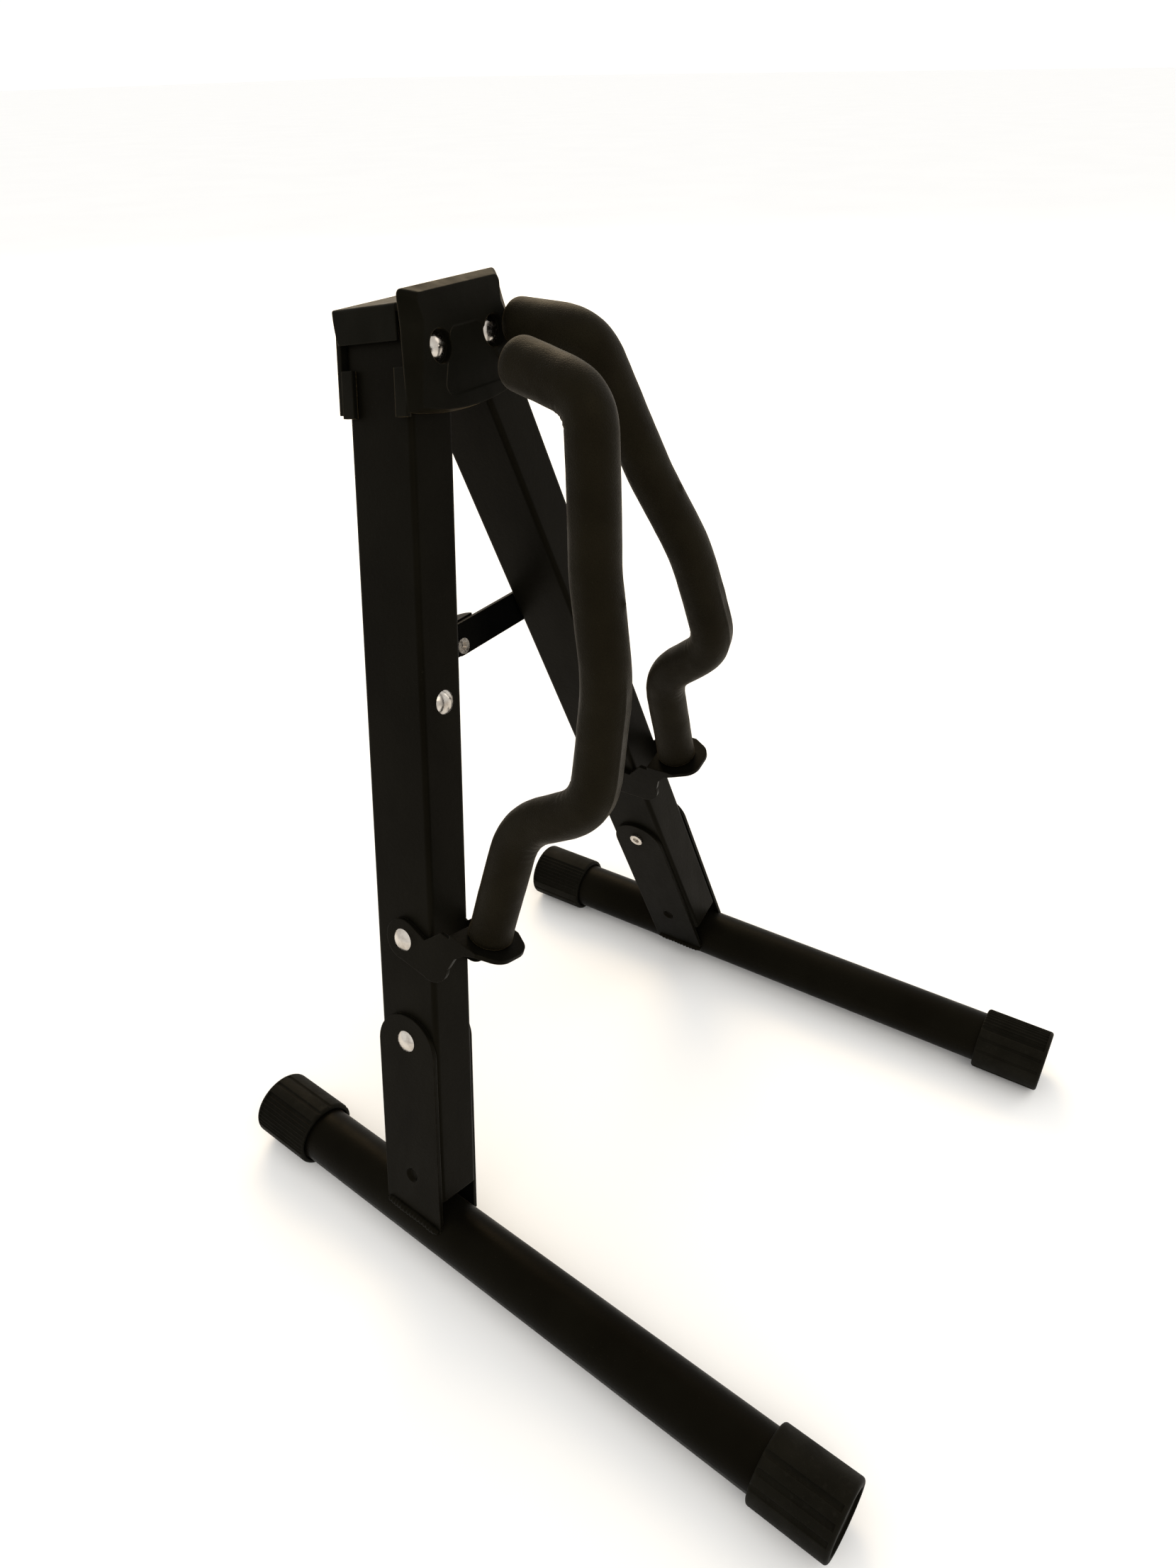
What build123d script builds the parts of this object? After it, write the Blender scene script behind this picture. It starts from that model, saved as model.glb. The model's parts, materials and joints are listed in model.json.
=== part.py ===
"""Folding A-frame guitar stand, unfolded, with its two padded arms swung up.

Frame: X runs across the stand, Y to its rear and Z up. The origin is on the floor, midway along
and between the feet. The two legs and the head lie in one plane that leans back from the feet.
"""
from build123d import *
import os
from math import asin, cos, degrees, radians, sin, tan

# ---- stance -------------------------------------------------------------------------------
LEAN = 9.8              # backward lean of the plane of the legs, degrees
SPLAY = 15.92           # inward lean of each leg within that plane, degrees
FOOT_FRONT = 198.6      # leg to the front end of the foot
FOOT_REAR = 101.7       # leg to the rear end of the foot
HINGE_X = 14.4          # hinge rivet to the centre plane
HINGE_S = 353.6         # foot axis to hinge rivet, along the leg
FOOT_OUT = 1.5          # foot tube axis stands this far outside the leg axis

# ---- legs and feet ------------------------------------------------------------------------
LEG_W, LEG_D = 21.0, 31.0       # leg tube: width across, depth front to back
LEG_WALL = 1.5
LEG_CORNER = 2.0
LEG_BOTTOM, LEG_TOP = 17.0, 360.5
PLUG_T = 3.0                    # plastic plug in each end of a leg tube
TUBE_R, TUBE_WALL = 12.5, 1.5
CAP_R, CAP_LEN, CAP_END = 15.2, 32.0, 3.0
CAP_ROUND = 1.4                 # rounding of both ends of a cap
CAP_MOUTH_R, CAP_MOUTH = 13.3, 2.0      # widened mouth around the tube: radius and depth
CAP_RECESS, CAP_RIM = 1.2, 3.0
GROOVE_START = 1.6              # grooves begin this far from the closed end
# Grooves of a cap: (radius, depth, angles in degrees counted up from the outward side).
GROOVES = [
    (1.6, 0.9, (28, 52, 77)),
    (0.9, 0.8, (230, 237.5, 245, 252.5, 260, 267.5, 275, 282.5)),
    (1.1, 1.0, (290,)),
    (1.0, 0.6, (313, 337)),
]
# How far each cap is turned about its foot, back from those angles, in degrees.
CAP_TURN = {"front_left": 0, "front_right": 175, "rear_left": 225, "rear_right": 120}
EAR_T = 1.8
EAR_HALF_OUTER, EAR_HALF_INNER = 15.5, 13.8
EAR_BOTTOM, EAR_ARC_S = 1.0, 85.0       # lower edge, and centre of the rounded top
DIMPLE_S, DIMPLE_BOSS_R, DIMPLE_BOSS = 25.4, 2.4, 1.1
DIMPLE_MOUTH_R, DIMPLE_FLOOR_R, DIMPLE_DEPTH = 3.3, 2.1, 1.4

# ---- rivets -------------------------------------------------------------------------------
RIVET_R, RUN_CLEAR = 2.5, 0.08
DOME_R, DOME_H = 4.6, 2.0
HINGE_DOME_R, CENTRE_DOME_R = 5.0, 4.2
TAIL_R, TAIL_H, TAIL_BORE = 3.4, 1.1, 1.7
FOOT_RIVET_S = 88.9
LINK_RIVET_S, LINK_RIVET_IN = 229.9, 1.2        # along the leg, and inward of its axis

# ---- head ---------------------------------------------------------------------------------
HEAD_GAP = 0.3                  # clearance between the head mouldings and the legs
PLATE_T, REAR_T = 5.0, 2.0      # thickness of the front plate and of the rear plate
PLATE_SQUARE = 0.7              # square part of the front plate's edge, behind its bevel
PLATE_MID = 349.0               # height of the kink in the plates' sides, up the leaning plane
PLATE_SAG, PLATE_ROUND = 5.0, 2.3       # arc of the lower edge; rounding of the top corners
# Outlines: half width and height at the top, half width at the kink, the same at the bottom.
BACK_OUTLINE = (25.3, 359.7, 26.9, 32.6, 322.4)     # front plate, at the foot of its bevel
FACE_OUTLINE = (21.9, 357.6, 20.4, 29.6, 323.4)     # front plate, its front face
REAR_OUTLINE = (23.1, 355.8, 25.0, 32.6, 322.4)
LIP_HALF, LIP_REACH, LIP_TOP, LIP_LOW = 23.2, 2.4, 358.9, 357.0   # lip back over the roof
FLANGE_N, FLANGE_LOW, FLANGE_HIGH = 2.1, 330.5, 346.3
FLANGE_REACH = 5.4              # side flanges reach this far along the legs' outer faces
ROOF_UNDER, ROOF_TOP = 353.2, 355.8
# Section of the hood over the leg tops, right half: roof edge, wall, and inside up to the roof.
HOOD_SECTION = [(24.3, ROOF_TOP), (27.0, 344.6), (25.2, 344.6), (25.2, 347.2), (23.6, 349.6),
                (23.2, ROOF_UNDER)]
CAP_FRONT, HOOD_CORNER, HOOD_ROUND = 13.0, 3.0, 1.2      # front of the walls; rear corners; top edges
RECESS_R, RECESS_FLOOR = 5.7, 1.6
PANEL_DEPTH, PANEL_TOP = 0.6, 344.6     # dished panel of the front plate
PANEL_HALF_TOP, PANEL_HALF_LOW, PANEL_LOW = 7.6, 17.0, 324.0
PANEL_DRAFT = 50.0              # slope of the panel's edges, degrees

# ---- arms ---------------------------------------------------------------------------------
ARM_PIVOT_S, ARM_PIVOT_F = 134.5, 1.2   # pivot: along the leg, and in front of its axis
LEFT_TILT, RIGHT_TILT = 18.3, 8.8       # forward tilt of the lower rod from the leg, degrees
BRACKET_T, BRACKET_GAP = 1.8, 0.3
LOBE_R = 8.8
LEDGE_P = 14.6                  # pivot to the underside of the ledge
LEDGE_BACK, LEDGE_SIDE = 21.8, 35.5     # back edge, and front end of the straight sides
NOSE_HALF, NOSE_FRONT, NOSE_ROUND = 7.5, 45.0, 8.0
ROD_R, FOAM_R = 4.4, 8.65
ROD_Q = 31.3                    # pivot to the axis of the lower rod
FOAM_WALL_END = 9.0             # foam beyond the end of the rod
ARM_LEAN = 0.052                # outward drift of the rod, per mm above its first bend
# Corners of the rod's line above the ledge: (up from the pivot, forward from it, bend radius).
ARM_CORNERS = [
    (67.4, ROD_Q, 24.4),
    (90.6, 59.6, 19.8),
    (134.7, 52.2, 77.7),
    (166.8, 37.7, 59.9),
    (217.3, 20.8, 14.1),
]
ARM_END = (219.2, -12.6)

# ---- spreader -----------------------------------------------------------------------------
LINK_T, LINK_HALF, LINK_RISE = 1.8, 6.9, 2.5
LINK_SLIDE = 0.1                # running clearance beside a link
RIGHT_Y = 17.2                  # front face of the right link, behind the legs' axes
LEFT_Y, LEFT_Y_AT_LEG = 19.4, 15.6      # the left link's, at the centre and at its leg
JOGGLE_IN, JOGGLE_OUT = 35.0, 41.0      # between them, from the centre plane
JOINT_HALF, JOINT_REACH, JOINT_ROUND = 7.6, 6.0, 3.0    # squarish end of the left link
WASHER_R = 4.2
TAB_HALF, TAB_REACH, TAB_T = 12.0, 5.0, 1.6

# ---- places that follow from the sizes above ----------------------------------------------
HINGE_Z = HINGE_S * cos(radians(SPLAY))
LEG_BASE_X = HINGE_X + HINGE_Z * tan(radians(SPLAY))
LEG_Y = (FOOT_FRONT - FOOT_REAR) / 2
FOOT_TOE = degrees(asin(sin(radians(LEAN)) * sin(radians(SPLAY))))
LINK_RIVET_Z = LINK_RIVET_S * cos(radians(SPLAY)) - LINK_RIVET_IN * sin(radians(SPLAY))
LINK_RIVET_X = (LEG_BASE_X - LINK_RIVET_S * sin(radians(SPLAY))
                - LINK_RIVET_IN * cos(radians(SPLAY)))
HALF_W, HALF_D = LEG_W / 2, LEG_D / 2
FRONT_Y, REAR_Y = -HALF_D - HEAD_GAP, HALF_D + HEAD_GAP

# Frames: the leaning plane (X across, Y to the rear, Z up the plane), and in it the right leg
# (X outward, Y to the rear, Z up the leg).
TILT = Location(Plane(origin=(0, LEG_Y, CAP_R), x_dir=(1, 0, 0),
                      z_dir=(0, sin(radians(LEAN)), cos(radians(LEAN)))))
LEG = TILT * Location((LEG_BASE_X, 0, 0)) * Rot(0, -SPLAY, 0)
FOOT = Location((LEG_BASE_X + FOOT_OUT, LEG_Y, CAP_R)) * Rot(0, 0, FOOT_TOE)


def slab_x(face, x0, x1):
    """A face drawn in Y and Z, thickened from x0 to x1."""
    return Pos(x0, 0, 0) * extrude(Plane.YZ * face, x1 - x0)


def slab_y(face, y0, y1):
    """A face drawn in X and Z, thickened from y0 to y1."""
    return Pos(0, y1, 0) * extrude(Plane.XZ * face, y1 - y0)


def rod_x(radius, x0, x1, y=0.0, z=0.0):
    """A round bar along X."""
    return Pos(x0, y, z) * extrude(Plane.YZ * Circle(radius), x1 - x0)


def rod_y(radius, y0, y1, x=0.0, z=0.0):
    """A round bar along Y."""
    return Pos(x, y1, z) * extrude(Plane.XZ * Circle(radius), y1 - y0)


def polygon(*points):
    """A filled outline through the given points."""
    return make_face(Polyline(*points, close=True))


def rivet(shank_r, grip, dome_r=DOME_R):
    """A rivet along Z: domed head above z = 0, shank down to -grip, ring-shaped tail below it."""
    ball_r = (dome_r ** 2 + DOME_H ** 2) / (2 * DOME_H)
    ball = Pos(0, 0, DOME_H - ball_r) * Sphere(ball_r)
    dome = ball & (Pos(0, 0, DOME_H / 2) * Cylinder(dome_r, DOME_H))
    shank = Pos(0, 0, -(grip + TAIL_H) / 2) * Cylinder(shank_r, grip + TAIL_H)
    tail = Pos(0, 0, -grip - TAIL_H / 2) * Cylinder(max(TAIL_R, shank_r + 0.9), TAIL_H)
    bore = Pos(0, 0, -grip - TAIL_H / 2) * Cylinder(TAIL_BORE, TAIL_H)
    return dome + shank + tail - bore


def along_x(part, x):
    """Turn a rivet so that its head faces outward (+X) at x."""
    return Pos(x, 0, 0) * Rot(0, 90, 0) * part


def facing_front(part, y):
    """Turn a rivet so that its head faces the front (-Y) at y."""
    return Pos(0, y, 0) * Rot(90, 0, 0) * part


def facing_rear(part, y):
    """Turn a rivet so that its head faces the rear (+Y) at y."""
    return Pos(0, y, 0) * Rot(-90, 0, 0) * part


# ---- leg and foot, right side -------------------------------------------------------------
def make_leg():
    """Rectangular tube with its rivet holes, open at both ends."""
    outer = RectangleRounded(LEG_W, LEG_D, LEG_CORNER)
    inner = RectangleRounded(LEG_W - 2 * LEG_WALL, LEG_D - 2 * LEG_WALL, LEG_CORNER - LEG_WALL)
    tube = Pos(0, 0, LEG_BOTTOM) * extrude(outer - inner, LEG_TOP - LEG_BOTTOM)
    hinge_hole = rod_y(RIVET_R + 0.5 + RUN_CLEAR, -LEG_D, LEG_D, z=HINGE_S)
    link_hole = rod_y(RIVET_R, -LEG_D, LEG_D, x=-LINK_RIVET_IN, z=LINK_RIVET_S)
    arm_hole = rod_x(RIVET_R + RUN_CLEAR, -LEG_W, LEG_W, y=-ARM_PIVOT_F, z=ARM_PIVOT_S)
    foot_hole = rod_x(RIVET_R, -LEG_W, LEG_W, z=FOOT_RIVET_S)
    dimple_hole = rod_x(DIMPLE_BOSS_R, -LEG_W, LEG_W, z=DIMPLE_S)
    return LEG * (tube - hinge_hole - link_hole - arm_hole - foot_hole - dimple_hole)


def make_plug(bottom):
    """Moulded plug filling the leg tube from bottom up."""
    section = RectangleRounded(LEG_W - 2 * LEG_WALL, LEG_D - 2 * LEG_WALL, LEG_CORNER - LEG_WALL)
    return LEG * (Pos(0, 0, bottom) * extrude(section, PLUG_T))


def make_ear(side):
    """Flat ear beside the leg, coped onto the foot tube; side is 1 outside and -1 inside."""
    half = EAR_HALF_OUTER if side > 0 else EAR_HALF_INNER
    outline = Pos(0, (EAR_ARC_S + EAR_BOTTOM) / 2) * Rectangle(2 * half, EAR_ARC_S - EAR_BOTTOM)
    outline += Pos(0, EAR_ARC_S) * Circle(half)
    face = HALF_W + EAR_T
    ear = slab_x(outline, HALF_W, face)
    ear -= rod_x(RIVET_R, 0, LEG_W, z=FOOT_RIVET_S)
    # The pressed dimple: a tapered cup outside and a boss that locks into the leg's hole.
    ear += rod_x(DIMPLE_BOSS_R - RUN_CLEAR, HALF_W - DIMPLE_BOSS, HALF_W, z=DIMPLE_S)
    ear -= Pos(face - DIMPLE_DEPTH / 2, 0, DIMPLE_S) * Rot(0, 90, 0) * Cone(
        DIMPLE_FLOOR_R, DIMPLE_MOUTH_R, DIMPLE_DEPTH)
    if side < 0:
        ear = mirror(ear, about=Plane.YZ)
    coping = FOOT * (Rot(90, 0, 0) * Cylinder(TUBE_R, 4 * half))
    return LEG * ear - coping


def make_foot_rivet():
    """Rivet through both ears and the leg."""
    grip = LEG_W + 2 * EAR_T
    return LEG * (Pos(0, 0, FOOT_RIVET_S) * along_x(rivet(RIVET_R, grip), HALF_W + EAR_T))


def make_foot_tube():
    """Round tube, open at its capped ends."""
    front, rear = -FOOT_FRONT + CAP_END, FOOT_REAR - CAP_END
    return FOOT * (rod_y(TUBE_R, front, rear) - rod_y(TUBE_R - TUBE_WALL, front, rear))


def make_foot_cap(end, turn):
    """Grooved rubber cap with a recessed end, over the front or rear end of the foot tube."""
    body = rod_y(CAP_R, -CAP_LEN, 0)
    body = fillet(body.edges().filter_by(GeomType.CIRCLE), CAP_ROUND)
    body -= rod_y(TUBE_R, -CAP_LEN + CAP_END, 0)
    body -= rod_y(CAP_MOUTH_R, -CAP_MOUTH, 0)
    body -= rod_y(CAP_R - CAP_RIM, -CAP_LEN, -CAP_LEN + CAP_RECESS)
    for radius, depth, angles in GROOVES:
        groove = rod_y(radius, -CAP_LEN + GROOVE_START, 1, x=CAP_R - depth + radius)
        for angle in angles:
            body -= Rot(0, turn - angle, 0) * groove
    if end == "rear":
        return FOOT * (Pos(0, FOOT_REAR - CAP_LEN, 0) * mirror(body, about=Plane.XZ))
    return FOOT * (Pos(0, -FOOT_FRONT + CAP_LEN, 0) * body)


# ---- head ---------------------------------------------------------------------------------
def plate_outline(half_top, top, half_mid, half_low, low):
    """Outline of a head plate: rounded top corners, kinked sides and an arc for its lower edge."""
    right = [(half_top, top), (half_mid, PLATE_MID), (half_low, low)]
    left = [(-x, z) for x, z in reversed(right)]
    arc = ThreePointArc(right[-1], (0, low - PLATE_SAG), left[0])
    face = make_face([Line(right[0], right[1]), Line(right[1], right[2]), arc,
                      Line(left[0], left[1]), Line(left[1], left[2]), Line(left[2], right[0])])
    return fillet(face.vertices().group_by(Axis.Y)[-1], PLATE_ROUND)


def side_flanges(y0, y1):
    """The flanges beside the legs' outer faces, left and right, from y0 to y1."""
    x0 = HALF_W + HEAD_GAP
    block = Pos(x0 + FLANGE_N / 2, (y0 + y1) / 2, (FLANGE_LOW + FLANGE_HIGH) / 2) * Box(
        FLANGE_N, y1 - y0, FLANGE_HIGH - FLANGE_LOW)
    right = Location((LEG_BASE_X, 0, 0)) * Rot(0, -SPLAY, 0) * block
    return right + mirror(right, about=Plane.YZ)


def make_front_plate():
    """Front moulding: thick plate with a dished panel, two rivet recesses and side flanges."""
    front = FRONT_Y - PLATE_T
    bevel = FRONT_Y - PLATE_SQUARE
    back = plate_outline(*BACK_OUTLINE)
    plate = slab_y(back, bevel, FRONT_Y) + loft(
        [Pos(0, bevel, 0) * (Plane.XZ * back),
         Pos(0, front, 0) * (Plane.XZ * plate_outline(*FACE_OUTLINE))], ruled=True)
    lip = polygon((FRONT_Y, ROOF_TOP), (FRONT_Y + LIP_REACH, ROOF_TOP),
                  (FRONT_Y + LIP_REACH, LIP_LOW), (FRONT_Y, LIP_TOP))
    plate += slab_x(lip, -LIP_HALF, LIP_HALF)
    panel = polygon((-PANEL_HALF_TOP, PANEL_TOP), (PANEL_HALF_TOP, PANEL_TOP),
                    (PANEL_HALF_LOW, PANEL_LOW), (-PANEL_HALF_LOW, PANEL_LOW))
    panel = fillet(panel.vertices(), 3.0)
    plate -= Pos(0, front + PANEL_DEPTH, 0) * extrude(
        Plane.XZ * panel, PANEL_DEPTH, taper=-PANEL_DRAFT)
    plate += side_flanges(FRONT_Y, FRONT_Y + FLANGE_REACH)
    for x in (-HINGE_X, HINGE_X):
        plate -= rod_y(RECESS_R, front, FRONT_Y - RECESS_FLOOR, x=x, z=HINGE_Z)
        plate -= rod_y(RIVET_R + 0.5, front, FRONT_Y + 1, x=x, z=HINGE_Z)
    return TILT * plate


def make_head_shell():
    """Rear moulding: thin plate, side flanges, and the roof with a cap over each leg top."""
    rear = REAR_Y + REAR_T
    (edge, _), (reach, low) = HOOD_SECTION[:2]
    left = [(-x, z) for x, z in reversed(HOOD_SECTION)]
    roof = polygon((-edge, ROOF_UNDER), (edge, ROOF_UNDER), (edge, ROOF_TOP), (-edge, ROOF_TOP))
    roof, walled = (fillet(outline.vertices().group_by(Axis.Y)[-1], HOOD_ROUND)
                    for outline in (roof, polygon(*HOOD_SECTION, *left)))
    hood = slab_y(roof, FRONT_Y, -CAP_FRONT) + slab_y(walled, -CAP_FRONT, rear)
    plan = Pos(0, (FRONT_Y + rear) / 2) * Rectangle(2 * reach, rear - FRONT_Y)
    plan = fillet(plan.vertices().group_by(Axis.Y)[-1], HOOD_CORNER)
    hood &= Pos(0, 0, low) * extrude(plan, ROOF_TOP - low)
    shell = slab_y(plate_outline(*REAR_OUTLINE), REAR_Y, rear)
    shell += side_flanges(REAR_Y - FLANGE_REACH, REAR_Y)
    shell += hood
    for x in (-HINGE_X, HINGE_X):
        shell -= rod_y(RIVET_R + 0.5, 0, rear, x=x, z=HINGE_Z)
    return TILT * shell


def make_hinge_rivet():
    """Rivet that clamps the two head mouldings and carries the right leg."""
    head_y = FRONT_Y - RECESS_FLOOR
    grip = REAR_Y + REAR_T - head_y
    whole = rivet(RIVET_R + 0.5, grip, HINGE_DOME_R)
    return TILT * (Pos(HINGE_X, 0, HINGE_Z) * facing_front(whole, head_y))


# ---- arm, right side ----------------------------------------------------------------------
def arm_frame(tilt):
    """Frame of an arm: origin at its pivot, X outward, Z along the lower rod."""
    return LEG * Pos(0, -ARM_PIVOT_F, ARM_PIVOT_S) * Rot(tilt, 0, 0)


def arm_point(up, forward):
    """A point of the rod's line in the arm's frame."""
    drift = max(0.0, up - ARM_CORNERS[0][0]) * ARM_LEAN
    return (drift, -forward, up)


def arm_path(start, end_setback):
    """The rod's line from the ledge, stopping end_setback short of the foam's end."""
    last = Vector(*arm_point(*ARM_END))
    bend = Vector(*arm_point(*ARM_CORNERS[-1][:2]))
    last = last + (bend - last).normalized() * end_setback
    points = [(0, -ROD_Q, start)] + [arm_point(up, forward) for up, forward, _ in ARM_CORNERS]
    points.append(tuple(last))
    return FilletPolyline(*points, radius=[radius for _, _, radius in ARM_CORNERS])


def sweep_round(radius, path):
    """A round bar along a path."""
    section = Plane(origin=path @ 0, z_dir=path % 0) * Circle(radius)
    return sweep(section, path=path)


def make_rod(tilt):
    """Bent steel rod, set flush in the ledge."""
    return arm_frame(tilt) * sweep_round(ROD_R, arm_path(LEDGE_P, FOAM_WALL_END))


def make_foam(tilt):
    """Foam sleeve over the rod, standing on the ledge, with a rounded closed end."""
    sleeve = sweep_round(FOAM_R, arm_path(LEDGE_P + BRACKET_T, 0.0))
    tip = Vector(*arm_point(*ARM_END))
    tip_edge = sleeve.edges().filter_by(GeomType.CIRCLE).sort_by_distance(tip)[0]
    sleeve = fillet(tip_edge, 5.0)
    return arm_frame(tilt) * (sleeve - sweep_round(ROD_R, arm_path(LEDGE_P, FOAM_WALL_END)))


def make_bracket(tilt):
    """Inverted U of sheet steel: two side plates on the pivot, and a ledge for the rod."""
    top = LEDGE_P
    side = polygon((2, -LOBE_R + 0.3), (-16.3, -8.5), (-24.8, 2.0), (-26.5, 7.8), (-30.5, 12.2),
                   (-LEDGE_SIDE, top), (-17.4, top), (-10.6, 6.6), (-3.0, 8.3))
    side += Circle(LOBE_R) + Pos(-16.3, -0.3) * Circle(8.4)
    side_in = HALF_W + BRACKET_GAP
    plate = slab_x(side, side_in, side_in + BRACKET_T)
    half = side_in + BRACKET_T
    ledge = polygon((-half, -LEDGE_BACK), (half, -LEDGE_BACK), (half, -LEDGE_SIDE),
                    (NOSE_HALF, -NOSE_FRONT), (-NOSE_HALF, -NOSE_FRONT), (-half, -LEDGE_SIDE))
    ledge = fillet(ledge.vertices().group_by(Axis.Y)[0], NOSE_ROUND)
    ledge -= Pos(0, -ROD_Q) * Circle(ROD_R)
    bracket = plate + mirror(plate, about=Plane.YZ) + Pos(0, 0, top) * extrude(ledge, BRACKET_T)
    bracket -= rod_x(RIVET_R, -LEG_W, LEG_W)
    return arm_frame(tilt) * bracket


def make_arm_rivet(tilt):
    """Pivot rivet, clamped in the bracket and turning in the leg."""
    half = HALF_W + BRACKET_GAP + BRACKET_T
    return arm_frame(tilt) * along_x(rivet(RIVET_R, 2 * half), half)


# ---- spreader -----------------------------------------------------------------------------
def link_outline(reach):
    """A link's outline from its leg rivet to the centre, with rounded ends."""
    middle = LINK_RIVET_Z + LINK_RISE
    bar = Pos(reach / 2, middle) * Rectangle(reach, 2 * LINK_HALF)
    return bar + Pos(0, middle) * Circle(LINK_HALF) + Pos(reach, middle) * Circle(LINK_HALF)


def drill_link(link):
    """The same link with its holes: fixed on the centre rivet, turning on its leg's rivet."""
    link -= rod_y(RIVET_R + RUN_CLEAR, 0, 2 * LEG_D, x=LINK_RIVET_X, z=LINK_RIVET_Z)
    return link - rod_y(RIVET_R, 0, 2 * LEG_D, z=LINK_RIVET_Z)


def make_right_link():
    """Flat straight link, pinned to the right leg."""
    return TILT * drill_link(slab_y(link_outline(LINK_RIVET_X), RIGHT_Y, RIGHT_Y + LINK_T))


def make_left_link():
    """Joggled link, close behind its leg and behind the other link, with a bent finger tab.

    It is drawn on the right and mirrored.
    """
    joint_z, joint_in = LINK_RIVET_Z + LINK_RISE, JOGGLE_IN / 3
    joint = RectangleRounded(JOINT_REACH + joint_in, 2 * JOINT_HALF, JOINT_ROUND)
    outline = Pos(JOGGLE_IN / 2, joint_z) * Rectangle(JOGGLE_IN, 2 * LINK_HALF)
    outline += Pos((JOGGLE_IN + LINK_RIVET_X) / 2, joint_z) * Rectangle(
        LINK_RIVET_X - JOGGLE_IN, 2 * LINK_HALF)
    outline += Pos(LINK_RIVET_X, joint_z) * Circle(LINK_HALF)
    outline += Pos((joint_in - JOINT_REACH) / 2, joint_z) * joint
    end = LINK_RIVET_X + LINK_HALF
    strip = polygon((-JOINT_REACH, LEFT_Y), (JOGGLE_IN, LEFT_Y), (JOGGLE_OUT, LEFT_Y_AT_LEG),
                    (end, LEFT_Y_AT_LEG), (end, LEFT_Y_AT_LEG + LINK_T),
                    (JOGGLE_OUT, LEFT_Y_AT_LEG + LINK_T), (JOGGLE_IN, LEFT_Y + LINK_T),
                    (-JOINT_REACH, LEFT_Y + LINK_T))
    block = Pos(0, 0, joint_z - JOINT_HALF) * extrude(strip, 2 * JOINT_HALF)
    link = block & slab_y(outline, LEFT_Y_AT_LEG, LEFT_Y + LINK_T)
    tab = extrude(scale(Circle(TAB_HALF), by=(1, (LINK_T + TAB_REACH) / TAB_HALF, 1)), -TAB_T)
    keep = Pos(0, TAB_HALF, -TAB_T / 2) * Box(2 * TAB_HALF, 2 * TAB_HALF, TAB_T)
    link += Pos(0, LEFT_Y, joint_z + JOINT_HALF) * (tab & keep)
    return TILT * mirror(drill_link(link), about=Plane.YZ)


def make_link_rivet(link_front):
    """Rivet through the leg that carries a link: head on the front face, tail behind the link."""
    grip = HALF_D + link_front + LINK_T + LINK_SLIDE
    return TILT * (Pos(LINK_RIVET_X, 0, LINK_RIVET_Z) * facing_front(rivet(RIVET_R, grip), -HALF_D))


def make_link_washer():
    """Spacer between the right leg's rear face and its link."""
    y1 = RIGHT_Y - LINK_SLIDE
    washer = rod_y(WASHER_R, HALF_D, y1) - rod_y(RIVET_R, HALF_D, y1)
    return TILT * (Pos(LINK_RIVET_X, 0, LINK_RIVET_Z) * washer)


def make_centre_rivet():
    """The spreader's centre rivet in two halves: the front one has the ring, the rear the dome."""
    rear = LEFT_Y + LINK_T
    whole = facing_rear(rivet(RIVET_R, rear - RIGHT_Y, CENTRE_DOME_R), rear)
    reach = 4 * DOME_R
    front_box = Pos(0, RIGHT_Y + LINK_T - reach / 2, 0) * Box(reach, reach, reach)
    rear_box = Pos(0, LEFT_Y + reach / 2, 0) * Box(reach, reach, reach)
    place = TILT * Pos(0, 0, LINK_RIVET_Z)
    return place * (whole & front_box), place * (whole & rear_box)


def mirrored(part):
    """The same piece on the left side."""
    return mirror(part, about=Plane.YZ)


def build():
    """Every piece by name."""
    parts = {"head_front_plate": make_front_plate(), "head_shell": make_head_shell()}
    pairs = {
        "leg": make_leg(),
        "leg_plug_top": make_plug(LEG_TOP - PLUG_T),
        "leg_plug_foot": make_plug(LEG_BOTTOM),
        "hinge_rivet": make_hinge_rivet(),
        "foot_tube": make_foot_tube(),
        "foot_ear_outer": make_ear(1),
        "foot_ear_inner": make_ear(-1),
        "foot_rivet": make_foot_rivet(),
    }
    for name, part in pairs.items():
        parts[name + "_right"] = part
        parts[name + "_left"] = mirrored(part)
    arm_pieces = {"arm_bracket": make_bracket, "arm_pivot_rivet": make_arm_rivet,
                  "arm_rod": make_rod, "arm_foam": make_foam}
    for name, maker in arm_pieces.items():
        parts[name + "_right"] = maker(RIGHT_TILT)
        parts[name + "_left"] = mirrored(maker(LEFT_TILT))
    for end in ("front", "rear"):
        parts[f"foot_cap_{end}_right"] = make_foot_cap(end, CAP_TURN[end + "_right"])
        parts[f"foot_cap_{end}_left"] = mirrored(make_foot_cap(end, CAP_TURN[end + "_left"]))
    parts["spreader_link_right"] = make_right_link()
    parts["spreader_link_left"] = make_left_link()
    parts["link_rivet_right"] = make_link_rivet(RIGHT_Y)
    parts["link_rivet_left"] = mirrored(make_link_rivet(LEFT_Y_AT_LEG))
    parts["link_spacer_right"] = make_link_washer()
    parts["spreader_rivet_front"], parts["spreader_rivet_rear"] = make_centre_rivet()
    return parts


if __name__ == "__main__":
    os.makedirs("parts", exist_ok=True)
    for node, shape in build().items():
        shape.label = node
        export_step(shape, f"parts/{node}.step")
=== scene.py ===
"""Looks for the folding guitar stand: finishes for the CAD pieces, foam sleeves and weld beads.

Units are metres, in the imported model's frame: X across the stand, Y to its rear, Z up.
"""
import json
import math

import bpy
from mathutils import Matrix, Vector, noise


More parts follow.
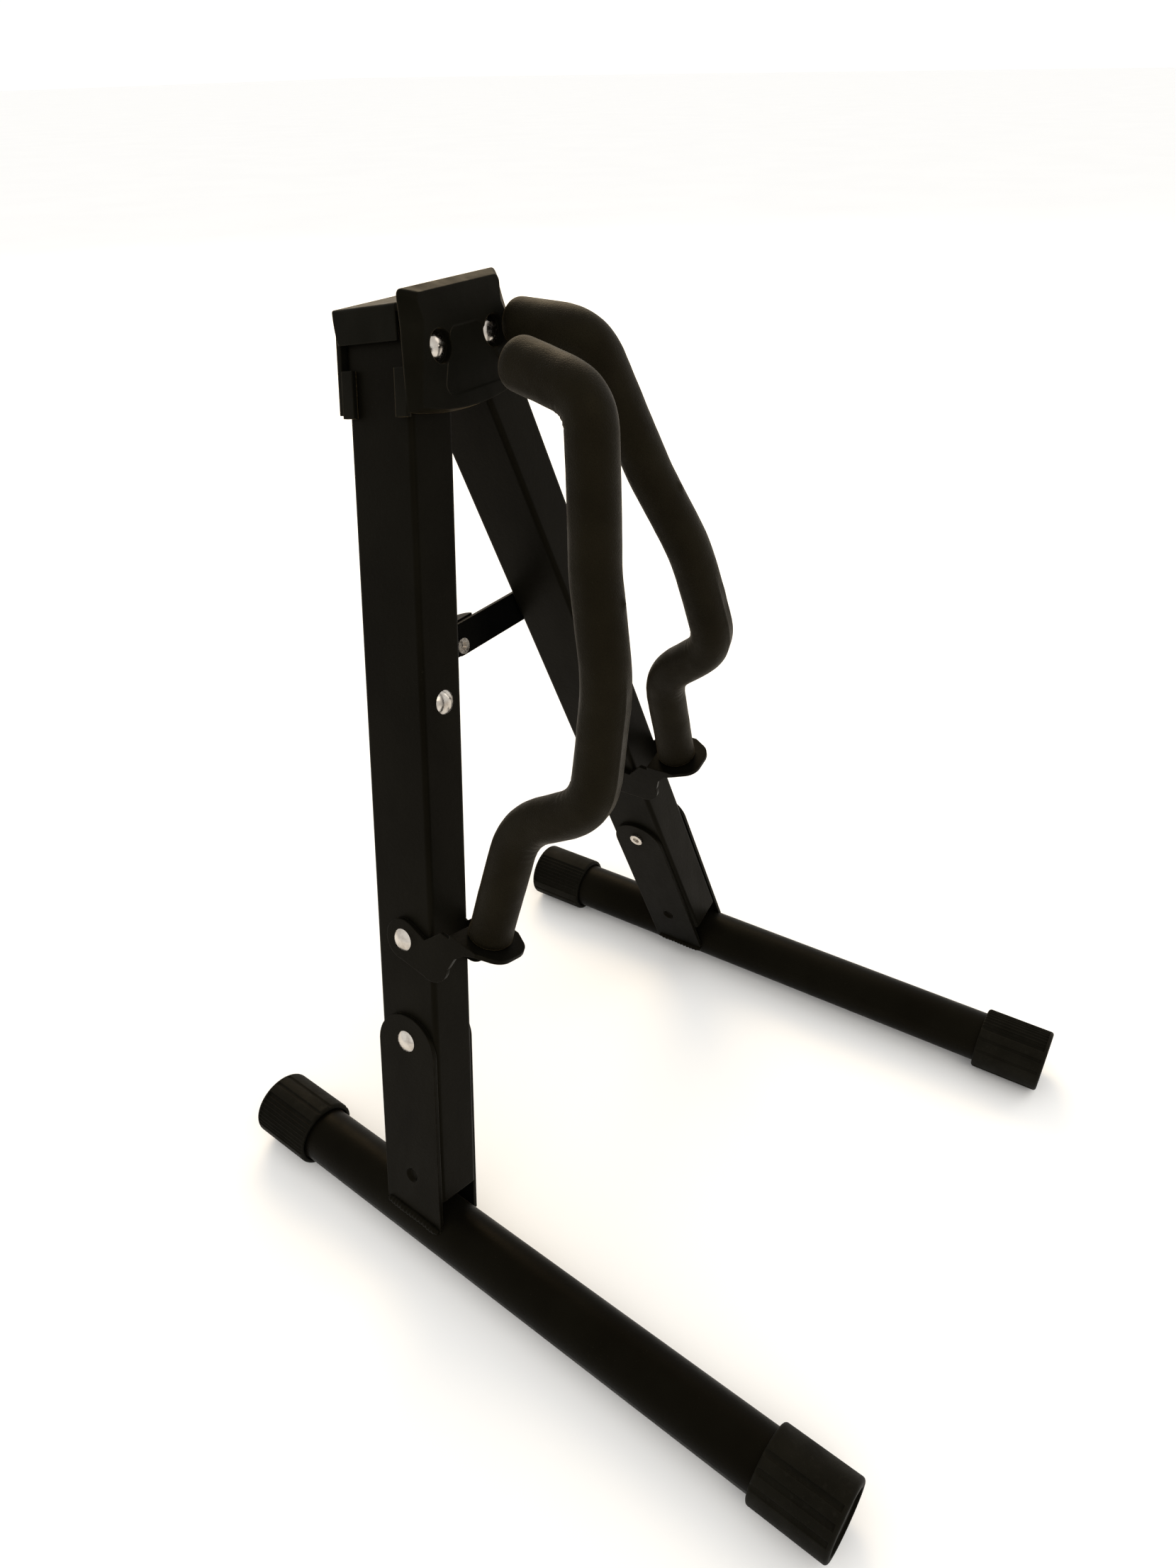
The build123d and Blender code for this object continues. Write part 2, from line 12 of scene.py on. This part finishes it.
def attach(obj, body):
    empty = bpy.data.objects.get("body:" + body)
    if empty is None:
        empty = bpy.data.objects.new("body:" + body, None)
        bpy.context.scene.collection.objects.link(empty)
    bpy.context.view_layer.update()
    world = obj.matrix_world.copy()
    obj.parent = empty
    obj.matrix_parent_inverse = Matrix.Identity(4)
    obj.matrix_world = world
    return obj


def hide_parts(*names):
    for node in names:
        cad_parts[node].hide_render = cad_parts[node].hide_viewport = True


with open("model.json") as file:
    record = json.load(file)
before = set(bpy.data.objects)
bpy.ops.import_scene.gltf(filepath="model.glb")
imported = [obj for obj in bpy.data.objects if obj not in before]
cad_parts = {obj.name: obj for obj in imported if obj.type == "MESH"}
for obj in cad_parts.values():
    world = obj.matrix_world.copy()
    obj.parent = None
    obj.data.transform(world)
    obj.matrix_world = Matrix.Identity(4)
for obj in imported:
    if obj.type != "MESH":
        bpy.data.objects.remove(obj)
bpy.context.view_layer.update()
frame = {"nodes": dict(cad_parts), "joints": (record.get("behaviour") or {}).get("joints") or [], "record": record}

SIDES = ("left", "right")
LEAN, SPLAY = math.radians(9.8), math.radians(15.92)

# ---- the arms' line, as in the CAD ---------------------------------------------------------
ARM_TILT = {"left": math.radians(18.3), "right": math.radians(8.8)}
LEDGE_TOP = 0.0164          # pivot to the ledge's upper face, where the foam stands
ROD_RADIUS, FOAM_RADIUS = 0.0044, 0.00865
ROD_FORWARD = 0.0313        # pivot to the axis of the lower rod
ROD_STOP = 0.009            # the foam runs this far past the rod's end
DRIFT = 0.052               # outward drift of the rod, per metre above its first bend
# Corners of the rod's line: (up from the pivot, forward from it, bend radius).
CORNERS = [(0.0674, ROD_FORWARD, 0.0244), (0.0906, 0.0596, 0.0198), (0.1347, 0.0522, 0.0777),
           (0.1668, 0.0377, 0.0599), (0.2173, 0.0208, 0.0141)]
ARM_TIP = (0.2192, -0.0126)

# ---- the sleeves' skin, which the CAD leaves out -------------------------------------------
RING_STEP, RING_POINTS = 0.0011, 72                 # between rings, and around each one
DOME, DOME_POWER = 0.0062, 2.6                      # the tip's length, and how square it is
DOME_RINGS = (0.12, 0.24, 0.36, 0.48, 0.60, 0.71, 0.81, 0.89, 0.95, 0.985)
SEAM_ANGLE = {"left": math.radians(104), "right": math.radians(78)}
# The seam's flat band fades in and out at these heights above the pivot.
BAND_START = (0.084, 0.098)
BAND_END = {"left": (0.128, 0.142), "right": (0.114, 0.128)}
BAND_HALF = 0.30                                    # its half width, in radians
BAND_REACH = 0.006                                  # half the width that the seam can change
LIP_PLACE, LIP_HEIGHT, LIP_WIDTH = 0.0027, 0.00022, 0.0005
TUFT_RISE, TUFT_HEIGHT = 0.158, 0.0007              # a tuft of foam on the seam's line
CREASE_PITCH, CREASE_DEPTH = 0.0043, 0.00028        # creases inside the bends
SKIN_SEED = {"left": Vector((3.1, 0.7, 5.9)), "right": Vector((8.3, 2.2, 1.4))}


# ---- node helpers --------------------------------------------------------------------------
class Graph:
    """A material's node tree, with short calls for the nodes used here."""

    def __init__(self, name):
        self.material = bpy.data.materials.new(name)
        self.material.use_nodes = True
        self.tree = self.material.node_tree
        self.shader = self.tree.nodes["Principled BSDF"]
        self.point = self.add("ShaderNodeTexCoord").outputs["Object"]

    def add(self, kind, **settings):
        node = self.tree.nodes.new(kind)
        for key, value in settings.items():
            setattr(node, key, value)
        return node

    def link(self, source, target):
        if isinstance(source, (int, float)):
            target.default_value = source
        else:
            self.tree.links.new(source, target)

    def noise(self, scale, detail=3.0, roughness=0.5, stretch=None, distortion=0.0):
        """Noise of that many features per metre, from 0 to 1."""
        node = self.add("ShaderNodeTexNoise")
        node.inputs["Scale"].default_value = scale
        node.inputs["Detail"].default_value = detail
        node.inputs["Roughness"].default_value = roughness
        node.inputs["Distortion"].default_value = distortion
        self.link(self.stretched(stretch), node.inputs["Vector"])
        return node.outputs["Fac"]

    def cells(self, scale):
        """Distance to the nearest of scattered points, that many per metre."""
        node = self.add("ShaderNodeTexVoronoi")
        node.inputs["Scale"].default_value = scale
        self.link(self.point, node.inputs["Vector"])
        return node.outputs["Distance"]

    def stretched(self, stretch):
        """The object's own coordinates, scaled along each axis where stretch is given."""
        if stretch is None:
            return self.point
        node = self.add("ShaderNodeMapping")
        node.inputs["Scale"].default_value = stretch
        self.link(self.point, node.inputs["Vector"])
        return node.outputs["Vector"]

    def span(self, value, low, high, to_low=0.0, to_high=1.0):
        """Maps low..high to to_low..to_high, clamped."""
        node = self.add("ShaderNodeMapRange")
        limits = {"From Min": low, "From Max": high, "To Min": to_low, "To Max": to_high}
        for key, number in limits.items():
            node.inputs[key].default_value = number
        self.link(value, node.inputs["Value"])
        return node.outputs["Result"]

    def math(self, operation, a, b):
        node = self.add("ShaderNodeMath", operation=operation)
        self.link(a, node.inputs[0])
        self.link(b, node.inputs[1])
        return node.outputs[0]

    def mix(self, factor, a, b):
        """Colour a to colour b."""
        node = self.add("ShaderNodeMix", data_type="RGBA")
        self.link(factor, node.inputs["Factor"])
        for key, value in (("A", a), ("B", b)):
            socket = next(s for s in node.inputs if s.name == key and s.type == "RGBA")
            if isinstance(value, tuple):
                socket.default_value = (*value, 1.0)
            else:
                self.tree.links.new(value, socket)
        return next(s for s in node.outputs if s.type == "RGBA")

    def bump(self, height, depth, normal=None):
        """Bump of that depth in metres, over an earlier normal."""
        node = self.add("ShaderNodeBump")
        node.inputs["Strength"].default_value = 1.0
        node.inputs["Distance"].default_value = depth
        self.link(height, node.inputs["Height"])
        if normal is not None:
            self.link(normal, node.inputs["Normal"])
        return node.outputs["Normal"]

    def soft_edges(self, radius):
        """A normal that rounds sharp edges over that radius, and a mask of where it does."""
        bevel = self.add("ShaderNodeBevel", samples=6)
        bevel.inputs["Radius"].default_value = radius
        true = self.add("ShaderNodeNewGeometry").outputs["Normal"]
        dot = self.add("ShaderNodeVectorMath", operation="DOT_PRODUCT")
        self.link(bevel.outputs["Normal"], dot.inputs[0])
        self.link(true, dot.inputs[1])
        return bevel.outputs["Normal"], self.span(dot.outputs["Value"], 0.995, 0.85)

    def set(self, **inputs):
        """Sets the shader's inputs, named with _ for each space: numbers, colours or links."""
        for key, value in inputs.items():
            socket = self.shader.inputs[key.replace("_", " ")]
            if isinstance(value, tuple):
                socket.default_value = (*value, 1.0)
            elif isinstance(value, (int, float)):
                socket.default_value = value
            else:
                self.tree.links.new(value, socket)


# ---- finishes ------------------------------------------------------------------------------
def powder_coat(name, dark, light, gloss=0.40):
    """Satin black powder coat: orange peel, faint handling marks, dust and slightly worn edges."""
    g = Graph(name)
    edge_normal, edge = g.soft_edges(0.0006)
    blotch = g.noise(28, detail=4.0)
    colour = g.mix(g.span(blotch, 0.35, 0.68), dark, light)
    dust = g.span(g.noise(1500, detail=2.0), 0.68, 0.76)
    settled = g.math("MULTIPLY", dust, g.span(g.noise(60), 0.45, 0.7, 0.0, 0.35))
    colour = g.mix(settled, colour, (0.026, 0.024, 0.017))
    worn = g.math("MULTIPLY", edge, g.span(g.noise(240, detail=4.0), 0.42, 0.66, 0.0, 0.5))
    colour = g.mix(worn, colour, (0.020, 0.018, 0.013))
    rub = g.noise(90, detail=5.0, roughness=0.62, stretch=(1.0, 1.0, 0.25))
    peel = g.noise(620, detail=1.5)
    grit = g.noise(3800, detail=1.0)
    normal = g.bump(peel, 0.00005, edge_normal)
    normal = g.bump(grit, 0.000022, normal)
    roughness = g.span(rub, 0.3, 0.7, gloss - 0.05, gloss + 0.09)
    g.set(Base_Color=colour, Roughness=roughness, Normal=normal,
          Specular_IOR_Level=0.03, Specular_Tint=(1.0, 0.80, 0.50),
          Sheen_Weight=0.02, Sheen_Roughness=0.2, Sheen_Tint=(1.0, 0.76, 0.42))
    return g.material


def head_plastic():
    """Black moulded plastic: fine spark grain, soft edges with a painted highlight along them, and slightly uneven
    shine.
    """
    g = Graph("head_plastic")
    edge_normal, edge = g.soft_edges(0.0009)
    blotch = g.span(g.noise(45, detail=4.0), 0.35, 0.65)
    colour = g.mix(blotch, (0.0022, 0.0022, 0.0015), (0.0042, 0.0040, 0.0028))
    # Lighter along every edge: a painted edge highlight.
    colour = g.mix(g.math("MULTIPLY", edge, 0.25), colour, (0.012, 0.011, 0.008))
    flow = g.noise(130, detail=3.0, stretch=(1.0, 1.0, 0.4), distortion=0.6)
    grain = g.noise(2600, detail=2.0, roughness=0.6)
    normal = g.bump(g.noise(170, detail=2.0), 0.00009, edge_normal)
    normal = g.bump(grain, 0.00004, normal)
    g.set(Base_Color=colour, Roughness=g.span(flow, 0.3, 0.7, 0.42, 0.58), Normal=normal,
          Specular_IOR_Level=0.03, Specular_Tint=(1.0, 0.80, 0.50),
          Sheen_Weight=0.12, Sheen_Roughness=0.22, Sheen_Tint=(1.0, 0.72, 0.34))
    return g.material


def cap_rubber():
    """Matte moulded rubber, faintly dusty, with a painted highlight along its edges."""
    g = Graph("cap_rubber")
    edge_normal, edge = g.soft_edges(0.0007)
    blotch = g.span(g.noise(70, detail=5.0), 0.35, 0.7)
    colour = g.mix(blotch, (0.0028, 0.0027, 0.0019), (0.0055, 0.0052, 0.0037))
    bloom = g.span(g.noise(420, detail=4.0, roughness=0.65), 0.55, 0.75, 0.0, 0.28)
    colour = g.mix(bloom, colour, (0.014, 0.013, 0.010))
    # Lighter along every edge: a painted edge highlight.
    colour = g.mix(g.math("MULTIPLY", edge, 0.3), colour, (0.012, 0.011, 0.008))
    normal = g.bump(g.noise(300, detail=2.0), 0.0001, edge_normal)
    normal = g.bump(g.noise(3000, detail=2.0, roughness=0.6), 0.00005, normal)
    g.set(Base_Color=colour, Roughness=g.span(g.noise(110), 0.3, 0.7, 0.55, 0.72), Normal=normal,
          Specular_IOR_Level=0.05, Specular_Tint=(1.0, 0.84, 0.60))
    return g.material


def foam_skin():
    """Closed-cell foam: a matte skin of tiny pores, with painted shade in them, over soft unevenness."""
    g = Graph("foam")
    blotch = g.span(g.noise(55, detail=5.0), 0.35, 0.68)
    colour = g.mix(blotch, (0.0030, 0.0025, 0.0014), (0.0054, 0.0046, 0.0026))
    pores = g.cells(1700)
    # Darker in the pores: painted shade inside them.
    colour = g.mix(g.span(pores, 0.12, 0.4, 0.55, 0.0), colour, (0.0012, 0.0011, 0.0008))
    fluff = g.span(g.noise(2100, detail=2.0), 0.66, 0.74, 0.0, 0.3)
    colour = g.mix(fluff, colour, (0.018, 0.016, 0.012))
    normal = g.bump(g.noise(150, detail=3.0), 0.00022)
    normal = g.bump(g.span(pores, 0.0, 0.5), 0.00009, normal)
    normal = g.bump(g.noise(4200, detail=2.0, roughness=0.7), 0.00005, normal)
    g.set(Base_Color=colour, Roughness=g.span(g.noise(95), 0.3, 0.7, 0.48, 0.62), Normal=normal,
          Specular_IOR_Level=0.07, Specular_Tint=(1.0, 0.78, 0.45),
          Sheen_Weight=0.04, Sheen_Roughness=0.3, Sheen_Tint=(1.0, 0.72, 0.36))
    return g.material


def bright_nickel():
    """Bright nickel plate with hairline scratches and a little tarnish."""
    g = Graph("bright_metal")
    tarnish = g.span(g.noise(260, detail=4.0), 0.4, 0.72)
    colour = g.mix(tarnish, (0.58, 0.54, 0.49), (0.34, 0.30, 0.26))
    hairline = g.noise(1500, detail=3.0, stretch=(1.0, 0.16, 1.0), distortion=0.4)
    normal = g.bump(hairline, 0.000012)
    normal = g.bump(g.noise(500, detail=2.0), 0.00003, normal)
    roughness = g.span(g.noise(700, detail=3.0), 0.35, 0.7, 0.16, 0.32)
    g.set(Base_Color=colour, Metallic=1.0, Roughness=roughness, Normal=normal)
    return g.material


COAT = powder_coat("powder_coat", (0.0019, 0.0017, 0.0011), (0.0036, 0.0033, 0.0022))
LINK_COAT = powder_coat("link_steel", (0.0009, 0.0010, 0.0010), (0.0018, 0.0019, 0.0018),
                        gloss=0.36)
FOAM = foam_skin()
FINISHES = {"powder_coat": COAT, "link_steel": LINK_COAT, "bright_metal": bright_nickel(),
            "cap_rubber": cap_rubber(), "foam": FOAM, "head_plastic": head_plastic()}


def give(piece, material):
    """Puts one material on every slot of a piece."""
    piece.data.materials.clear()
    piece.data.materials.append(material)


for part in frame["record"]["subparts"]:
    give(frame["nodes"][part["node"]], FINISHES[part["material_slot"]])


# ---- shared by the sleeves and the beads ---------------------------------------------------
def smooth_piece(name, side, verts, faces, material):
    """A smooth mesh object made for the right-hand side, and mirrored for the left."""
    if side == "left":
        verts = [Vector((-v.x, v.y, v.z)) for v in verts]
        faces = [tuple(reversed(face)) for face in faces]
    mesh = bpy.data.meshes.new(name)
    mesh.from_pydata([tuple(v) for v in verts], [], faces)
    mesh.validate()
    mesh.polygons.foreach_set("use_smooth", [True] * len(mesh.polygons))
    piece = bpy.data.objects.new(name, mesh)
    bpy.context.scene.collection.objects.link(piece)
    give(piece, material)
    return piece


def join_rings(faces, first, second, points):
    """Quads between two rings of that many points, given by their first points' numbers."""
    for k in range(points):
        n = (k + 1) % points
        faces.append((first + k, first + n, second + n, second + k))


def leg_axes():
    """The right leg's outward, upward and rearward directions."""
    rear = Vector((0, math.cos(LEAN), -math.sin(LEAN)))
    rise = Vector((0, math.sin(LEAN), math.cos(LEAN)))
    across = Vector((1, 0, 0))
    out = across * math.cos(SPLAY) + rise * math.sin(SPLAY)
    along = rise * math.cos(SPLAY) - across * math.sin(SPLAY)
    return out, along, rear


# ---- foam sleeves --------------------------------------------------------------------------
def arm_axes(side):
    """The arm's pivot and its out, up and forward directions, for the right-hand side."""
    joint = next(j for j in frame["joints"] if j["name"] == f"arm_{side}_swing")
    pivot = Vector(joint["pos_m"])
    pivot.x = abs(pivot.x)
    out, along, rear = leg_axes()
    tilt = ARM_TILT[side]
    up = along * math.cos(tilt) - rear * math.sin(tilt)
    forward = -rear * math.cos(tilt) - along * math.sin(tilt)
    return pivot, out, up, forward


def bent_line(corners, step):
    """Even points along straight runs joined by arcs: corners are (point, radius)."""
    runs, start = [], corners[0][0]
    for (before, _), (corner, radius), (after, _) in zip(corners, corners[1:], corners[2:]):
        a, b = (before - corner).normalized(), (after - corner).normalized()
        half = a.angle(b) / 2
        reach = radius / math.tan(half)
        centre = corner + (a + b).normalized() * (radius / math.sin(half))
        first, last = corner + a * reach, corner + b * reach
        runs.append((start, first, None, 0.0, 0.0))
        runs.append((first, last, centre, math.pi - 2 * half, radius))
        start = last
    runs.append((start, corners[-1][0], None, 0.0, 0.0))
    points = []
    for first, last, centre, angle, radius in runs:
        length = (last - first).length if centre is None else angle * radius
        count = max(1, round(length / step))
        for i in range(count):
            t = i / count
            if centre is None:
                points.append(first.lerp(last, t))
            else:
                u = (first - centre) * math.sin((1 - t) * angle)
                w = (last - centre) * math.sin(t * angle)
                points.append(centre + (u + w) / math.sin(angle))
    points.append(corners[-1][0].copy())
    return points


def bell(value, centre, width):
    """A smooth hump, 1 at the centre."""
    return math.exp(-((value - centre) / width) ** 2)


def step_up(value, low, high):
    """A smooth step from 0 at low to 1 at high."""
    t = min(1.0, max(0.0, (value - low) / (high - low)))
    return t * t * (3 - 2 * t)


def foam_sleeve(side):
    """The sleeve: outer skin with its seam band and bend creases, domed tip, and the rod's bore."""
    pivot, out, up, forward = arm_axes(side)

    def at(rise, ahead):
        return pivot + up * rise + forward * ahead + out * max(0.0, rise - CORNERS[0][0]) * DRIFT

    corners = [(at(LEDGE_TOP, ROD_FORWARD), 0.0)]
    corners += [(at(rise, ahead), radius) for rise, ahead, radius in CORNERS]
    corners.append((at(*ARM_TIP), 0.0))
    line = bent_line(corners, RING_STEP)
    spots = [0.0]
    for a, b in zip(line, line[1:]):
        spots.append(spots[-1] + (b - a).length)
    total = spots[-1]
    seed = SKIN_SEED[side]
    verts, faces = [], []

    def frame_at(i):
        """The line's direction there, and two directions across it."""
        tangent = (line[min(i + 1, len(line) - 1)] - line[max(i - 1, 0)]).normalized()
        side_way = (out - tangent * out.dot(tangent)).normalized()
        return tangent, side_way, side_way.cross(tangent)

    def curvature(i):
        """Where the line bends towards, in one over metres."""
        j = min(max(i, 2), len(line) - 3)
        a, b, c = line[j - 2], line[j], line[j + 2]
        return ((c - b).normalized() - (b - a).normalized()) / (c - b).length

    def skin_radius(i, angle, way):
        s = spots[i]
        radius = FOAM_RADIUS
        radius += 0.00016 * noise.noise(line[i] * 55 + way * 0.5 + seed)
        radius += 0.00007 * noise.noise(line[i] * 210 + way * 1.6 + seed)
        inward = curvature(i).dot(way)
        if inward > 0:
            wander = 1.3 * noise.noise(line[i] * 90 + seed)
            crease = 0.5 - 0.5 * math.cos(s * 2 * math.pi / CREASE_PITCH + wander)
            radius -= CREASE_DEPTH * crease * step_up(inward, 22.0, 55.0)
            radius += 0.00022 * step_up(inward, 15.0, 60.0)
        else:
            radius -= 0.00018 * step_up(-inward, 15.0, 60.0)
        # The seam: a flat band with two small lips, on the lower half of the long run.
        rise = (line[i] - pivot).dot(up)
        away = (angle - SEAM_ANGLE[side] + math.pi) % (2 * math.pi) - math.pi
        length_wise = step_up(rise, *BAND_START) * (1 - step_up(rise, *BAND_END[side]))
        across = away * FOAM_RADIUS
        if abs(across) < BAND_REACH:
            flat = FOAM_RADIUS * math.cos(BAND_HALF) / max(0.9, math.cos(away)) - FOAM_RADIUS
            if abs(away) < BAND_HALF:
                radius += length_wise * flat * 0.9
            lips = bell(across, LIP_PLACE, LIP_WIDTH) + bell(across, -LIP_PLACE, LIP_WIDTH)
            radius += length_wise * LIP_HEIGHT * lips
        radius += TUFT_HEIGHT * bell(across, -0.0004, 0.0013) * bell(rise, TUFT_RISE, 0.0016)
        # The foot of the sleeve bulges a little where it stands on the ledge.
        radius += 0.00025 * bell(s, 0.0022, 0.0022) - 0.0007 * (1 - step_up(s, 0.0, 0.0009))
        return radius

    def ring(i, scale, shift, detail):
        """Adds a ring of the skin, or of the plain bore where detail is off."""
        tangent, side_way, front_way = frame_at(i)
        first = len(verts)
        for k in range(RING_POINTS):
            angle = 2 * math.pi * k / RING_POINTS
            way = side_way * math.cos(angle) + front_way * math.sin(angle)
            radius = skin_radius(i, angle, way) if detail else ROD_RADIUS
            verts.append(line[i] + tangent * shift + way * radius * scale)
        return first

    last_ring = next(i for i, s in enumerate(spots) if s >= total - DOME)
    rings = [ring(i, 1.0, 0.0, True) for i in range(last_ring + 1)]
    for share in DOME_RINGS:
        width = (1 - share ** DOME_POWER) ** (1 / DOME_POWER)
        rings.append(ring(last_ring, width, share * DOME, True))
    for a, b in zip(rings, rings[1:]):
        join_rings(faces, a, b, RING_POINTS)
    tip = len(verts)
    verts.append(line[last_ring] + frame_at(last_ring)[0] * DOME * 0.995)
    for k in range(RING_POINTS):
        faces.append((rings[-1] + k, rings[-1] + (k + 1) % RING_POINTS, tip))
    # The bore, from the ledge to just past the rod's end.
    bore_end = next(i for i, s in enumerate(spots) if s >= total - ROD_STOP + 0.0003)
    bore = [ring(i, 1.0, 0.0, False) for i in range(bore_end + 1)]
    join_rings(faces, bore[0], rings[0], RING_POINTS)
    for a, b in zip(bore, bore[1:]):
        join_rings(faces, b, a, RING_POINTS)
    end = len(verts)
    verts.append(line[bore_end].copy())
    for k in range(RING_POINTS):
        faces.append((bore[-1] + (k + 1) % RING_POINTS, bore[-1] + k, end))

    sleeve = smooth_piece(f"foam_sleeve_{side}", side, verts, faces, FOAM)
    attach(sleeve, f"arm_{side}")
    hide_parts(f"arm_foam_{side}")


for side in SIDES:
    foam_sleeve(side)


# ---- weld beads ----------------------------------------------------------------------------
LEG_FOOT = Vector((0.11139, 0.04845, 0.0152))       # where the right leg's axis meets its foot
# Bead beside each ear: out from the leg's axis, up along it, and half its length.
BEADS = {"outer": (0.0124, 0.0060, 0.0152), "inner": (-0.0118, 0.0008, 0.0134)}
BEAD_RADIUS, BEAD_RINGS, BEAD_POINTS = 0.0018, 84, 20
BEAD_RIPPLE, BEAD_PITCH = 0.00016, 0.0019           # depth and pitch of the weld's ripples
BEAD_WANDER, BEAD_LUMP = 0.0004, 0.00022            # how uneven its line and its thickness are


def weld_bead(side, ear):
    """A rippled bead of weld, painted over, where an ear meets the foot tube."""
    out, along, _ = leg_axes()
    away, up, half = BEADS[ear]
    toe = math.asin(math.sin(LEAN) * math.sin(SPLAY))   # the foot tube's turn in plan
    run = Vector((-math.sin(toe), math.cos(toe), 0))
    middle = LEG_FOOT + out * away + along * up
    level = (out - run * out.dot(run)).normalized()
    rise = run.cross(level)
    seed = Vector((len(side) * 1.7, len(ear) * 2.3, 0.4))
    verts, faces = [], []
    for i in range(BEAD_RINGS):
        t = -half + 2 * half * i / (BEAD_RINGS - 1)
        swell = math.sqrt(max(0.0, 1 - (t / half) ** 10)) * 0.98 + 0.02
        slip = 2.0 * noise.noise(Vector((t * 200, 0, 0)) + seed)
        ripple = BEAD_RIPPLE * math.sin(t * 2 * math.pi / BEAD_PITCH + slip)
        wander = level * BEAD_WANDER * noise.noise(Vector((t * 130, 3.0, 0)) + seed)
        for k in range(BEAD_POINTS):
            angle = 2 * math.pi * k / BEAD_POINTS
            way = level * math.cos(angle) + rise * math.sin(angle)
            lump = BEAD_LUMP * noise.noise(Vector((t * 260, 0, 0)) + way * 0.9 + seed)
            verts.append(middle + run * t + wander + way * (BEAD_RADIUS + ripple + lump) * swell)
    for i in range(BEAD_RINGS - 1):
        join_rings(faces, i * BEAD_POINTS, (i + 1) * BEAD_POINTS, BEAD_POINTS)
    faces.append(tuple(reversed(range(BEAD_POINTS))))
    faces.append(tuple(range((BEAD_RINGS - 1) * BEAD_POINTS, BEAD_RINGS * BEAD_POINTS)))
    bead = smooth_piece(f"weld_bead_{ear}_{side}", side, verts, faces, COAT)
    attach(bead, f"leg_{side}")


for side in SIDES:
    for ear in BEADS:
        weld_bead(side, ear)


# ---- floor ---------------------------------------------------------------------------------
def make_floor():
    g = Graph("floor")
    patches = g.span(g.noise(3.0, detail=4.0), 0.35, 0.65)
    tone = g.mix(patches, (0.955, 0.953, 0.948), (0.97, 0.968, 0.963))
    g.set(Base_Color=tone, Roughness=0.85, Specular_IOR_Level=0.15,
          Normal=g.bump(g.noise(400), 0.00003))
    bpy.ops.mesh.primitive_plane_add(size=60)
    floor = bpy.context.object
    floor.name = "floor"
    give(floor, g.material)


make_floor()


# ---- light ---------------------------------------------------------------------------------
def softbox(name, place, aim, size, power, colour):
    """A rectangular area lamp at place, facing aim."""
    lamp = bpy.data.lights.new(name, "AREA")
    lamp.shape = "RECTANGLE"
    lamp.size, lamp.size_y = size
    lamp.energy, lamp.color = power, colour
    light = bpy.data.objects.new(name, lamp)
    light.location = place
    light.rotation_euler = (Vector(aim) - Vector(place)).to_track_quat("-Z", "Y").to_euler()
    bpy.context.scene.collection.objects.link(light)


MIDDLE = (0.0, 0.0, 0.18)
softbox("key", (-1.3, -1.9, 2.3), MIDDLE, (1.4, 1.4), 14, (1.0, 0.95, 0.86))
softbox("rear_warm", (1.7, 1.6, 1.7), MIDDLE, (1.6, 1.2), 36, (1.0, 0.78, 0.48))
softbox("side", (1.9, -1.2, 1.1), MIDDLE, (0.8, 1.4), 5, (1.0, 0.95, 0.88))

world = bpy.data.worlds.new("studio")
world.use_nodes = True
sky = world.node_tree.nodes["Background"]
sky.inputs["Color"].default_value = (1.0, 0.992, 0.975, 1.0)
sky.inputs["Strength"].default_value = 1.03
bpy.context.scene.world = world
bpy.context.scene.view_settings.view_transform = "Standard"


# ---- camera --------------------------------------------------------------------------------
CAMERA_PLACE = (-0.2978, -0.1725, 0.4336)
HEADING, PITCH, ROLL = math.radians(-54.557), math.radians(-34.452), math.radians(-1.31)


def make_camera():
    """Close, above the stand's left front, looking down along its diagonal."""
    ahead = Vector((-math.sin(HEADING) * math.cos(PITCH), math.cos(HEADING) * math.cos(PITCH),
                    math.sin(PITCH)))
    level = ahead.cross(Vector((0, 0, 1))).normalized()
    above = level.cross(ahead)
    right = level * math.cos(ROLL) + above * math.sin(ROLL)
    top = right.cross(ahead)
    lens = bpy.data.cameras.new("camera")
    lens.sensor_width, lens.lens = 36.0, 24.327
    lens.clip_start, lens.clip_end = 0.01, 100.0
    camera = bpy.data.objects.new("camera", lens)
    turned = Matrix((right, top, -ahead)).transposed().to_4x4()
    camera.matrix_world = Matrix.Translation(CAMERA_PLACE) @ turned
    bpy.context.scene.collection.objects.link(camera)
    bpy.context.scene.camera = camera


make_camera()
